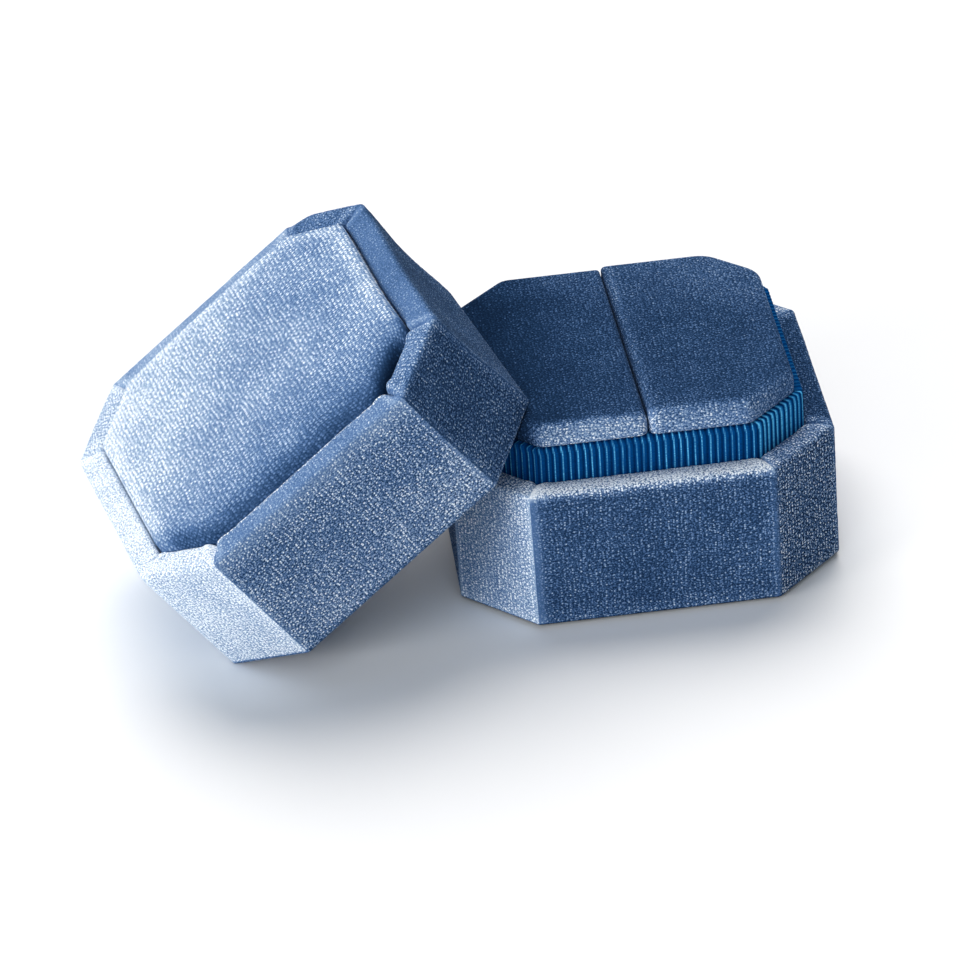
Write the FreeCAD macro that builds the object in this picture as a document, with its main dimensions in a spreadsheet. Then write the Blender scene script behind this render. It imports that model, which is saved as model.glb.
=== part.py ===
"""Eight-sided velvet ring box in two loose halves: a box base and a lift-off lid.

The base is a moulded tray wrapped in velvet. A card collar stands in it, faced with a grosgrain
ribbon, and holds two velvet cushions that pinch a ring in the slot between them. The lid is a
moulded cap wrapped in the same velvet, with a padded panel let into its top and a lined hollow
below. It stands tilted beside the base, with its rim leaning on the collar and pressed into the
left cushion.

Millimetres, +Z up. The origin is the centre of the base's underside, and the front is at -Y.
"""
import FreeCAD
import Part

import math
import os

import Sketcher

SIZES = (
    ("casing_width", 58.0, "across the flats of the eight-sided casing, base and lid alike"),
    ("corner_cut", 10.7, "leg of the cut-off corner, along each side"),
    ("base_height", 23.0, "from the table to the base's rim"),
    ("lid_height", 22.8, "from the lid's mouth to the top of its raised border"),
    ("velvet_thick", 0.9, "pile and backing of the velvet on the casings"),
    ("edge_round", 1.0, "rounding of the velvet over every outer edge"),
    ("shell_wall", 2.45, "moulded wall of the base and of the lid's raised border"),
    ("shell_floor", 2.0, "moulded floor of the base and deck of the lid"),
    ("mould_round", 0.8, "fillet inside the moulded base, along its floor"),
    ("rim_turn", 4.6, "depth that the velvet turns down inside the base's rim"),
    ("foot_turn", 5.0, "width that the velvet turns in under the base"),
    ("underside_board_thick", 0.5, "covered card glued under the base"),
    ("underside_board_inset", 1.6, "from the casing's side to that card's edge"),
    ("ribbon_width", 10.0, "height of the grosgrain ribbon, part of it below the rim"),
    ("ribbon_show", 5.4, "height of the ribbon that stands above the rim"),
    ("ribbon_thick", 0.55, "thickness of the grosgrain ribbon"),
    ("ribbon_lip", 0.2, "height of the ribbon's selvage above the card collar"),
    ("collar_thick", 1.4, "card of the collar behind the ribbon"),
    ("collar_round", 1.5, "corner radius of the ribbon around the collar"),
    ("cushion_board_thick", 1.0, "card that the two foam blocks are glued to"),
    ("cushion_gap", 0.2, "room between the cushions and the collar, and the ribbon round it"),
    ("cushion_rise", 9.0, "height of the cushions' crown above the base's rim"),
    ("cushion_cover", 0.8, "velvet over the foam"),
    ("cushion_shoulder", 2.2, "rounding of the cushions' outer top edges"),
    ("cushion_corner", 2.6, "rounding of the cushions' upright corners"),
    ("slot_width", 0.4, "ring slot between the velvet faces of the two cushions"),
    ("slot_lip", 1.2, "rounding of the cushions at the mouth of the slot"),
    ("lid_fit", 0.4, "room between the lid's lining and the ribbon when the lid is on"),
    ("mouth_turn", 6.0, "depth that the velvet turns up inside the lid's mouth"),
    ("panel_recess", 3.2, "depth of the lid's deck below its raised border"),
    ("panel_rise", 0.2, "height of the top panel's crown above the raised border"),
    ("panel_gap", 0.15, "room between a padded panel and the velvet around it"),
    ("panel_board_thick", 1.2, "card inside each padded panel"),
    ("panel_cover", 0.7, "velvet over each padded panel"),
    ("panel_round", 1.5, "rounding of each padded panel's edge"),
    ("lining_thick", 0.6, "velvet paper on the inside wall of the lid"),
    ("ceiling_pad_thick", 2.8, "whole thickness of the padded panel under the lid's deck"),
    ("lean_tilt", 33.9, "degrees that the lid is tilted, its right side up"),
    ("lean_turn", 12.74, "degrees that the lid is turned about the upright axis"),
    ("lean_forward", 5.2, "distance of the lid's middle in front of the base's middle"),
    ("lean_gap", 0.15, "room between the leaning lid and what it leans on"),
)

# A 45-degree corner's leg shrinks by this much for each millimetre that the sides move in.
LEG_SHRINK = "(2 - sqrt(2))"
SIDES = 8
TINY = 1e-4
ALONG = 0.99
SEARCH_REACH = 2.0
SEARCH_STEPS = 14

# Insets from the casing's side, and heights, shared by the pieces that meet there.
SHELL_OUT = "sizes.velvet_thick"
SHELL_IN = "(sizes.velvet_thick + sizes.shell_wall)"
RIM_IN = "(2 * sizes.velvet_thick + sizes.shell_wall)"
COLLAR_OUT = f"({RIM_IN} + sizes.ribbon_thick)"
COLLAR_IN = f"({COLLAR_OUT} + sizes.collar_thick)"
CUSHION_OUT = f"({COLLAR_IN} + sizes.cushion_gap)"
OVERHANG_OUT = f"({COLLAR_OUT} + sizes.cushion_gap)"
MOUTH_IN = f"({RIM_IN} - sizes.lid_fit)"
LID_WALL_IN = f"({SHELL_IN} - sizes.lid_fit)"
LINING_IN = f"({LID_WALL_IN} + sizes.lining_thick)"

BASE_FOOT = "sizes.underside_board_thick"
SHELL_FOOT = f"({BASE_FOOT} + sizes.velvet_thick)"
SHELL_FLOOR_TOP = f"({SHELL_FOOT} + sizes.shell_floor)"
BASE_RIM = "sizes.base_height"
SHELL_RIM = f"({BASE_RIM} - sizes.velvet_thick)"
RIBBON_TOP = f"({BASE_RIM} + sizes.ribbon_show)"
RIBBON_FOOT = f"({RIBBON_TOP} - sizes.ribbon_width)"
COLLAR_TOP = f"({RIBBON_TOP} - sizes.ribbon_lip)"
CUSHION_FOOT = f"({SHELL_FLOOR_TOP} + sizes.cushion_board_thick)"
OVERHANG_FOOT = f"({COLLAR_TOP} + sizes.cushion_gap)"
CUSHION_TOP = f"({BASE_RIM} + sizes.cushion_rise)"
LID_TOP = "sizes.lid_height"
DECK_TOP = f"({LID_TOP} - sizes.panel_recess)"
DECK_FOOT = f"({DECK_TOP} - sizes.shell_floor)"

document = FreeCAD.newDocument("ring_box")
sheet = document.addObject("Spreadsheet::Sheet", "sizes")


def fill_sheet():
    """Write each driving size into the sheet under its own alias."""
    for row, (alias, size, note) in enumerate(SIZES, 1):
        sheet.set(f"A{row}", alias)
        sheet.set(f"B{row}", str(size))
        sheet.set(f"C{row}", note)
        sheet.setAlias(f"B{row}", alias)
    document.recompute()


def new_body(label):
    body = document.addObject("PartDesign::Body", label)
    body.Label = label
    return body


def new_sketch(body, name, height):
    """Lay a sketch flat at a height above the body's own XY plane."""
    plane = [item for item in body.Origin.OriginFeatures if item.Role == "XY_Plane"][0]
    sketch = body.newObject("Sketcher::SketchObject", name)
    sketch.AttachmentSupport = (plane, "")
    sketch.MapMode = "FlatFace"
    sketch.setExpression("AttachmentOffset.Base.z", height)
    return sketch


def own_axis(letter):
    """The number by which a sketch's constraints name its own X or Y axis."""
    return {"x": -1, "y": -2}[letter]


def own_origin():
    return (own_axis("x"), 1)


def drive(sketch, kind, first, second, expression):
    """Add a distance from the first point to the second, bound to the sheet."""
    start_value = sketch.evalExpression(expression)
    number = sketch.addConstraint(Sketcher.Constraint(kind, *first, *second, start_value))
    sketch.setExpression(f"Constraints[{number}]", expression)


def draw_loop(sketch, corners):
    """Draw a closed loop of lines, joined end to end, and return their numbers."""
    start = sketch.GeometryCount
    for here, there in zip(corners, corners[1:] + corners[:1]):
        sketch.addGeometry(Part.LineSegment(FreeCAD.Vector(*here), FreeCAD.Vector(*there)), False)
    lines = list(range(start, start + len(corners)))
    for line, following in zip(lines, lines[1:] + lines[:1]):
        sketch.addConstraint(Sketcher.Constraint("Coincident", line, 2, following, 1))
    return lines


def draw_octagon(sketch, inset):
    """Draw the casing's outline, every side moved inwards by the inset."""
    side_at = f"(sizes.casing_width / 2 - {inset})"
    flat = f"(2 * {side_at} - 2 * (sizes.corner_cut - {LEG_SHRINK} * {inset}))"
    far = sketch.evalExpression(side_at)
    near = sketch.evalExpression(flat) / 2
    right_half = [(near, -far), (far, -near), (far, near), (near, far)]
    left_half = [(-near, far), (-far, near), (-far, -near), (-near, -far)]
    loop = draw_loop(sketch, [(x, y, 0) for x, y in right_half + left_half])
    right, back, left, front = loop[1], loop[3], loop[5], loop[7]
    for side, axis in ((right, "x"), (back, "y"), (left, "x"), (front, "y")):
        sketch.addConstraint(Sketcher.Constraint("Symmetric", side, 1, side, 2, own_axis(axis)))
    for side in (right, back, left):
        sketch.addConstraint(Sketcher.Constraint("Equal", front, side))
    drive(sketch, "DistanceX", (front, 1), (front, 2), flat)
    drive(sketch, "DistanceX", own_origin(), (right, 1), side_at)
    drive(sketch, "DistanceX", (left, 1), own_origin(), side_at)
    drive(sketch, "DistanceY", own_origin(), (back, 1), side_at)
    drive(sketch, "DistanceY", (front, 1), own_origin(), side_at)


def extrude(body, kind, sketch, height):
    """Pad the sketch up by the height, or pocket it down by it."""
    feature = body.newObject(f"PartDesign::{kind}", f"{sketch.Name}_{kind.lower()}")
    feature.Profile = sketch
    feature.setExpression("Length", height)
    sketch.Visibility = False
    document.recompute()
    return feature


def pad_ring(body, name, low, high, *insets):
    """Pad the octagon at the first inset, less the one at the second, from low to high."""
    sketch = new_sketch(body, name, low)
    for inset in insets:
        draw_octagon(sketch, inset)
    return extrude(body, "Pad", sketch, f"{high} - {low}")


def cut_ring(body, name, low, high, *insets):
    """Cut the same shape out of the body, downwards from high to low."""
    sketch = new_sketch(body, name, high)
    for inset in insets:
        draw_octagon(sketch, inset)
    before = body.Shape.Volume
    feature = extrude(body, "Pocket", sketch, f"{high} - {low}")
    if feature.Shape.Volume >= before:
        raise ValueError(f"{name} cuts nothing")
    return feature


def fillet(body, name, feature, radius, wanted):
    """Round the feature's edges that the test picks."""
    edges = [f"Edge{number}" for number, edge in enumerate(feature.Shape.Edges, 1) if wanted(edge)]
    rounding = body.newObject("PartDesign::Fillet", name)
    rounding.Base = (feature, edges)
    rounding.setExpression("Radius", radius)
    document.recompute()
    return rounding


def is_upright(edge):
    return edge.BoundBox.ZLength > edge.BoundBox.DiagonalLength * ALONG


def is_level_at(height):
    """Pick the edges that lie flat at one height."""
    def test(edge):
        return abs(edge.BoundBox.ZMin - height) + edge.BoundBox.ZLength < TINY
    return test


def corner_test(feature, outer):
    """Pick a ring's eight outer corner edges, or its eight inner ones."""
    spans = sorted(from_axis(edge) for edge in feature.Shape.Edges if is_upright(edge))
    limit = spans[-SIDES] if outer else spans[SIDES - 1]

    def test(edge):
        past = from_axis(edge) - limit
        return is_upright(edge) and (past > -TINY if outer else past < TINY)
    return test


def from_axis(edge):
    return math.hypot(edge.CenterOfMass.x, edge.CenterOfMass.y)


def value(expression):
    """Work out an expression of the sheet's sizes as a plain number."""
    return float(sheet.evalExpression(expression.replace("sizes.", "")))


def make_base_shell():
    """Moulded tray: one octagonal floor and wall, filleted where they meet inside."""
    body = new_body("base_shell")
    pad_ring(body, "tray_block", SHELL_FOOT, SHELL_RIM, SHELL_OUT)
    hollow = cut_ring(body, "tray_hollow", SHELL_FLOOR_TOP, SHELL_RIM, SHELL_IN)
    fillet(body, "tray_fillet", hollow, "sizes.mould_round", is_level_at(value(SHELL_FLOOR_TOP)))
    return body


def make_base_wrap():
    """Velvet around the tray, turned down inside its rim and in under its foot."""
    body = new_body("base_velvet_wrap")
    block = pad_ring(body, "wrap_block", BASE_FOOT, BASE_RIM, "0")
    fillet(body, "wrap_rounding", block, "sizes.edge_round", lambda edge: True)
    turn_foot = f"({BASE_RIM} - sizes.rim_turn)"
    cut_ring(body, "wrap_mouth", turn_foot, f"({BASE_RIM} + sizes.edge_round)", RIM_IN)
    cut_ring(body, "wrap_tray_room", SHELL_FOOT, turn_foot, SHELL_OUT)
    cut_ring(body, "wrap_wall_room", turn_foot, SHELL_RIM, SHELL_OUT, SHELL_IN)
    cut_ring(body, "wrap_foot_opening", "0", SHELL_FOOT, f"({SHELL_OUT} + sizes.foot_turn)")
    return body


def make_underside_board():
    body = new_body("base_underside_board")
    pad_ring(body, "underside_card", "0", BASE_FOOT, "sizes.underside_board_inset")
    return body


def make_collar_wall():
    """Card collar that stands on the tray's floor and backs the ribbon."""
    body = new_body("collar_wall")
    ring = pad_ring(body, "collar_ring", SHELL_FLOOR_TOP, COLLAR_TOP, COLLAR_OUT, COLLAR_IN)
    fillet(body, "collar_corners", ring, "(sizes.collar_round - sizes.ribbon_thick)",
           corner_test(ring, outer=True))
    return body


def make_ribbon():
    """Grosgrain ribbon glued round the collar, its lower part hidden behind the rim."""
    body = new_body("collar_ribbon")
    ring = pad_ring(body, "ribbon_ring", RIBBON_FOOT, RIBBON_TOP, RIM_IN, COLLAR_OUT)
    inside = fillet(body, "ribbon_inner_corners", ring, "(sizes.collar_round - sizes.ribbon_thick)",
                    corner_test(ring, outer=False))
    fillet(body, "ribbon_corners", inside, "sizes.collar_round", corner_test(inside, outer=True))
    return body


def make_cushion_board():
    body = new_body("cushion_board")
    pad_ring(body, "cushion_card", SHELL_FLOOR_TOP, CUSHION_FOOT, CUSHION_OUT)
    return body


def make_cushion_form(label, trim):
    """Both cushions as one block that overhangs the collar, less the trim that lies over it."""
    body = new_body(label)
    top = f"({CUSHION_TOP} - {trim})"
    overhang_foot = f"({OVERHANG_FOOT} + {trim})"
    pad_ring(body, f"{label}_stem", CUSHION_FOOT, overhang_foot, f"({CUSHION_OUT} + {trim})")
    block = pad_ring(body, f"{label}_crown", overhang_foot, top, f"({OVERHANG_OUT} + {trim})")
    upright = fillet(body, f"{label}_corners", block, f"(sizes.cushion_corner - {trim})", is_upright)
    fillet(body, f"{label}_shoulder", upright, f"(sizes.cushion_shoulder - {trim})",
           is_level_at(value(top)))
    return body


def make_side_block(label, side, trim, rounded):
    """A block that takes in one side of the slot, with the slot's lip rounded or square."""
    body = new_body(label)
    top = f"({CUSHION_TOP} - {trim})"
    sketch = new_sketch(body, f"{label}_plan", CUSHION_FOOT)
    slot_face = f"(sizes.slot_width / 2 + {trim})"
    reach = "(sizes.casing_width / 2)"
    near = side * sketch.evalExpression(slot_face)
    far = side * sketch.evalExpression(reach)
    depth = abs(far)
    loop = draw_loop(sketch, [(near, -depth, 0), (far, -depth, 0), (far, depth, 0), (near, depth, 0)])
    front, outside, back, inside = loop
    for line, kind in ((front, "Horizontal"), (back, "Horizontal"), (inside, "Vertical")):
        sketch.addConstraint(Sketcher.Constraint(kind, line))
    sketch.addConstraint(Sketcher.Constraint("Symmetric", outside, 1, outside, 2, own_axis("x")))
    drive(sketch, "DistanceY", (outside, 1), (outside, 2), f"2 * {reach}")
    for line, expression in ((inside, slot_face), (outside, reach)):
        ends = [own_origin(), (line, 1)][::side]
        drive(sketch, "DistanceX", *ends, expression)
    block = extrude(body, "Pad", sketch, f"{top} - {CUSHION_FOOT}")
    level = is_level_at(value(top))
    if rounded:
        fillet(body, f"{label}_lip", block, "sizes.slot_lip",
               lambda edge: level(edge) and abs(edge.BoundBox.Center.x - near) < TINY)
    return body


def combine(kind, label, base, tool):
    result = document.addObject(f"Part::{kind}", label)
    result.Label = label
    result.Base = base
    result.Tool = tool
    document.recompute()
    return result


def make_lid_room(label, leaning, depth):
    """The room that the leaning lid takes above its mouth, deepened by what lies between."""
    room = document.addObject("Part::Box", label)
    for side in ("Length", "Width", "Height"):
        room.setExpression(side, "sizes.casing_width")
    half = value("sizes.casing_width / 2")
    corner = FreeCAD.Vector(-half, -half, -value(depth))
    room.Placement = leaning * FreeCAD.Placement(corner, FreeCAD.Rotation())
    document.recompute()
    return room


def make_cushions(leaning):
    """Two foam blocks in velvet covers, the left one pressed in where the lid leans on it."""
    pieces = []
    cover_form = make_cushion_form("cover_form", "0")
    foam_form = make_cushion_form("foam_form", "sizes.cushion_cover")
    for name, side in (("left", -1), ("right", 1)):
        cover_side = make_side_block(f"{name}_cover_side", side, "0", True)
        foam_side = make_side_block(f"{name}_foam_side", side, "sizes.cushion_cover", False)
        pressed = name == "left"
        foam_label = f"{name}_cushion_foam"
        outside = combine("Common", f"{name}_outside", cover_form, cover_side)
        foam = combine("Common", f"{name}_foam_whole" if pressed else foam_label, foam_form, foam_side)
        if pressed:
            cover_room = make_lid_room("lid_room", leaning, "sizes.lean_gap")
            foam_room = make_lid_room("foam_room", leaning, "sizes.lean_gap + sizes.cushion_cover")
            outside = combine("Cut", f"{name}_outside_pressed", outside, cover_room)
            foam = combine("Cut", foam_label, foam, foam_room)
        pieces += [foam, combine("Cut", f"{name}_cushion_velvet", outside, foam)]
    return pieces


def make_lid_shell():
    """Moulded cap: side walls, a deck across them and a raised border round the top."""
    body = new_body("lid_shell")
    pad_ring(body, "cap_block", SHELL_OUT, f"({LID_TOP} - sizes.velvet_thick)", SHELL_OUT)
    cut_ring(body, "cap_hollow", SHELL_OUT, DECK_FOOT, LID_WALL_IN)
    cut_ring(body, "cap_recess", DECK_TOP, f"({LID_TOP} - sizes.velvet_thick)", SHELL_IN)
    return body


def make_lid_wrap():
    """Velvet around the cap, turned up into the mouth and down into the top recess."""
    body = new_body("lid_velvet_wrap")
    above = f"({LID_TOP} + sizes.edge_round)"
    block = pad_ring(body, "lid_wrap_block", "0", LID_TOP, "0")
    fillet(body, "lid_wrap_rounding", block, "sizes.edge_round", lambda edge: True)
    cut_ring(body, "lid_wrap_mouth", "0", "sizes.mouth_turn", MOUTH_IN)
    cut_ring(body, "lid_wrap_room", "sizes.mouth_turn", DECK_TOP, SHELL_OUT)
    cut_ring(body, "lid_wrap_wall_room", SHELL_OUT, "sizes.mouth_turn", SHELL_OUT, LID_WALL_IN)
    cut_ring(body, "lid_wrap_recess", DECK_TOP, above, RIM_IN)
    border_top = f"({LID_TOP} - sizes.velvet_thick)"
    cut_ring(body, "lid_wrap_border_room", DECK_TOP, border_top, SHELL_OUT, SHELL_IN)
    return body


def make_lining_wall():
    body = new_body("lid_lining_wall")
    pad_ring(body, "lining_ring", "sizes.mouth_turn", DECK_FOOT, LID_WALL_IN, LINING_IN)
    return body


def make_padded_panel(prefix, inset, seat, crown, upwards):
    """Card and wadding under a velvet cover: a panel from its seat to its crown."""
    board_face = f"({seat} {'+' if upwards else '-'} sizes.panel_board_thick)"
    wadding_face = f"({crown} {'-' if upwards else '+'} sizes.panel_cover)"
    core_inset = f"({inset} + sizes.panel_cover)"
    board = new_body(f"{prefix}_board")
    pad_ring(board, f"{prefix}_card", *ordered(seat, board_face), core_inset)
    wadding = new_body(f"{prefix}_wadding")
    layer = pad_ring(wadding, f"{prefix}_layer", *ordered(board_face, wadding_face), core_inset)
    fillet(wadding, f"{prefix}_layer_edge", layer, "(sizes.panel_round - sizes.panel_cover)",
           is_level_at(value(wadding_face)))
    cover = new_body(f"{prefix}_velvet")
    block = pad_ring(cover, f"{prefix}_block", *ordered(seat, crown), inset)
    fillet(cover, f"{prefix}_edge", block, "sizes.panel_round", is_level_at(value(crown)))
    room = cut_ring(cover, f"{prefix}_room", *ordered(seat, wadding_face), core_inset)
    fillet(cover, f"{prefix}_room_edge", room, "(sizes.panel_round - sizes.panel_cover)",
           is_level_at(value(wadding_face)))
    return [board, wadding, cover]


def ordered(one, other):
    return (one, other) if value(one) < value(other) else (other, one)


def make_base():
    return [make_base_shell(), make_base_wrap(), make_underside_board(), make_collar_wall(),
            make_ribbon(), make_cushion_board()]


def make_lid():
    pieces = [make_lid_shell(), make_lid_wrap(), make_lining_wall()]
    pieces += make_padded_panel("lid_panel", f"({RIM_IN} + sizes.panel_gap)", DECK_TOP,
                                f"({LID_TOP} + sizes.panel_rise)", True)
    pieces += make_padded_panel("lid_lining", f"({LINING_IN} + sizes.panel_gap)", DECK_FOOT,
                                f"({DECK_FOOT} - sizes.ceiling_pad_thick)", False)
    return pieces


def lid_placement(reach):
    """Tilt and turn the lid, its low edge on the table and its middle at -X by the reach."""
    turn = FreeCAD.Rotation(FreeCAD.Vector(0, 0, 1), value("sizes.lean_turn"))
    tilt = FreeCAD.Rotation(FreeCAD.Vector(0, 1, 0), -value("sizes.lean_tilt"))
    angle = math.radians(value("sizes.lean_tilt"))
    radius = value("sizes.edge_round")
    corner = value("sizes.casing_width / 2") - radius
    height = corner * math.sin(angle) - radius * math.cos(angle) + radius
    place = FreeCAD.Vector(-reach, -value("sizes.lean_forward"), height)
    return FreeCAD.Placement(place, turn * tilt)


def lean(lid_pieces, base_pieces):
    """Slide the tilted lid towards the base until it all but touches the rim or the collar."""
    lid_skin = [piece.Shape.copy() for piece in lid_pieces if piece.Label == "lid_velvet_wrap"][0]
    stops = Part.makeCompound([piece.Shape for piece in base_pieces
                               if piece.Label in ("base_velvet_wrap", "collar_ribbon")])
    near, far = 0.0, SEARCH_REACH * value("sizes.casing_width")
    for _ in range(SEARCH_STEPS):
        reach = (near + far) / 2
        lid_skin.Placement = lid_placement(reach)
        if lid_skin.distToShape(stops)[0] < value("sizes.lean_gap"):
            near = reach
        else:
            far = reach
    return lid_placement(far)


def check(objects):
    """Stop on any failed feature or any piece that isn't a valid solid."""
    for item in document.Objects:
        if "Invalid" in item.State or "Error" in item.State:
            raise ValueError(f"{item.Label} failed: {item.State}")
    for item in objects:
        if item.Shape.isNull() or not item.Shape.isValid() or not item.Shape.Solids:
            raise ValueError(f"{item.Label} is not a valid solid")


def main():
    fill_sheet()
    pieces = make_base()
    lid_pieces = make_lid()
    leaning = lean(lid_pieces, pieces)
    for piece in lid_pieces:
        piece.Placement = leaning
    pieces += make_cushions(leaning) + lid_pieces
    document.recompute()
    check(pieces)
    os.makedirs("parts", exist_ok=True)
    for piece in pieces:
        piece.Shape.exportStep(f"parts/{piece.Label}.step")
        print(piece.Label, round(piece.Shape.Volume, 1), len(piece.Shape.Solids))
    print("lid placement", leaning)


main()
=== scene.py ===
"""Looks of an octagonal velvet ring box: an open base, and its loose lid leaning on the base.

Every velvet skin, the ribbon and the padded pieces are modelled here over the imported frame, and
every other node of the frame gets a procedural material. Lengths are millimetres until a mesh is
made, which is in metres. The weave map of a piece is in millimetres too: its first number runs
across the velvet's wales, its second along them.
"""

import math

import bmesh
import bpy
import numpy as np
from mathutils import Matrix, Quaternion, Vector, noise


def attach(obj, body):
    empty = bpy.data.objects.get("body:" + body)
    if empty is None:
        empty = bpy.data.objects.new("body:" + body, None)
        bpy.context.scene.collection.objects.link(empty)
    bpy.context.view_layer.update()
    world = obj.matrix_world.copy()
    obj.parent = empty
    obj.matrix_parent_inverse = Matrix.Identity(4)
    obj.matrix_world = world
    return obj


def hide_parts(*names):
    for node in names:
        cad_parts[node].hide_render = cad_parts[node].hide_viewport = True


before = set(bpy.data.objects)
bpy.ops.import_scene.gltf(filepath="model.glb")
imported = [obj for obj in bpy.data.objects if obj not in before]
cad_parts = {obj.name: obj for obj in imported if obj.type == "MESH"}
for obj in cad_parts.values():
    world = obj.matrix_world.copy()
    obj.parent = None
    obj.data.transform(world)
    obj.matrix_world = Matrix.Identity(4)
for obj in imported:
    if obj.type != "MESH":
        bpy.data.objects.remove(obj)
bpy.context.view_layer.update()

MM = 0.001
HALF_TURN = math.pi

# Camera, at the photograph's view.
CAMERA_PLACE = (-60.0, -593.1, 366.05)
CAMERA_AZIMUTH = math.radians(3.52)
CAMERA_DROP = math.radians(30.95)
CAMERA_ROLL = math.radians(-4.88)
CAMERA_LENS = 168.75

# The octagon's cut corners.
CORNER_CUT = 10.7
# What the cut loses for each millimetre that the sides are drawn in.
CUT_LOSS = 2 - math.sqrt(2)

# The velvet: its thickness, how round its edges and corners are, and its rows of points.
VELVET = 0.9
EDGE_ROUND = 0.65
FOOT_ROUND = 0.55
FOOT_TURN = 5.0
CORNER_ROUND = 0.7
INNER_CORNER = 0.9
BACK_CORNER = 0.6
FOOT_CORNER = 0.4
RIM_DOME = 0.2
WALL_ROWS = 54
RIM_ROWS = 9

# The pile. Its wales are the rows of tufts, and its courses run across them.
WALE_PITCH = 0.67
COURSE_PITCH = 0.6
PILE_LUMPS = 0.55
PILE_UNEVEN = 0.045
SLOW_UNEVEN = 0.05

# The ribbon.
RIB_PITCH = 1.1
RIB_HEIGHT = 0.12

# The lid is out of square: how far its right side stands out at the mouth, and how far its
# top stands to the right, back and up at its back, and forward in front.
LID_FLARE = 1.1
SKEW_RIGHT = 0.95
SKEW_BACK = 0.75
SKEW_UP = 0.35
SKEW_FRONT = 0.7

# The lid's top panel.
PANEL_CROWN = 1.15
PANEL_DROP = 1.3

# The cushions: how far their fronts stand out, and how far the lid presses the left one in.
SHOULDER = 2.2
SLOT_LIP = 1.15
SLOT_LIP_GAP = 0.08
SLOT_SKEW = 0.55
CUSHION_CORNER = 2.4
FRONT_OUT = 0.45
PRESSED = 0.45

# The light that the world gives, its tint, and the floor's reach in metres.
WORLD_LIGHT = 0.10
WORLD_TINT = (0.85, 0.95, 1.12, 1)
FLOOR_REACH = 3.0

# Cloth simulation, on a copy so much larger that it behaves as a seat pad does.
SIMULATION_SCALE = 10.0
SIMULATION_FRAMES = 20
CLOTH = {
    "quality": 6, "mass": 0.3, "tension_stiffness": 20, "compression_stiffness": 20,
    "shear_stiffness": 8, "bending_stiffness": 1.5, "vertex_group_mass": "held",
    "use_pressure": True, "uniform_pressure_force": 4.0,
}


# -------- sizes read from the frame

def node_points(name):
    """A node's vertices in millimetres, in the row frame."""
    return np.array([vertex.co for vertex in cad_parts[name].data.vertices], float) / MM


def spread(points):
    """The lowest and highest corners of a box round the points."""
    return points.min(0), points.max(0)


def find_lid_frame():
    """The lid's own frame, mouth at zero height: its cards' middles give the tilt and the turn."""
    boards = ("lid_lining_board", "lid_panel_board")
    middles = [sum(spread(node_points(name))) / 2 for name in boards]
    up = Vector(middles[1] - middles[0]).normalized()
    turn = Matrix.Rotation(math.atan2(-up.y, -up.x), 3, "Z")
    rotation = np.array(turn @ Matrix.Rotation(-math.acos(up.z), 3, "Y"))
    low, high = spread(node_points("lid_velvet_wrap") @ rotation)
    return rotation, rotation @ np.array([(low[0] + high[0]) / 2, (low[1] + high[1]) / 2, low[2]])


LID_ROTATION, LID_ORIGIN = find_lid_frame()


def lid_box(name):
    """A lid node's lowest and highest corners in the lid's own frame."""
    return spread((node_points(name) - LID_ORIGIN) @ LID_ROTATION)


BASE_LOW, BASE_HIGH = spread(node_points("base_velvet_wrap"))
HALF = BASE_HIGH[0]
RIM = BASE_HIGH[2]
FOOT = BASE_LOW[2]
RIBBON_LOW, RIBBON_HIGH = spread(node_points("collar_ribbon"))
COLLAR_HIGH = spread(node_points("collar_wall"))[1]
RIM_INSET = HALF - RIBBON_HIGH[0]
SHELL_HALF = spread(node_points("base_shell"))[1][0]
LID_TOP = lid_box("lid_velvet_wrap")[1][2]
DECK = lid_box("lid_panel_velvet")[0][2]


# -------- outlines and skins

def octagon(half, cut):
    """Corners of an octagon with sides at +X, then counter-clockwise."""
    near = half - cut
    return [(half, -near), (half, near), (near, half), (-near, half),
            (-half, near), (-half, -near), (-near, -half), (near, -half)]


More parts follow.
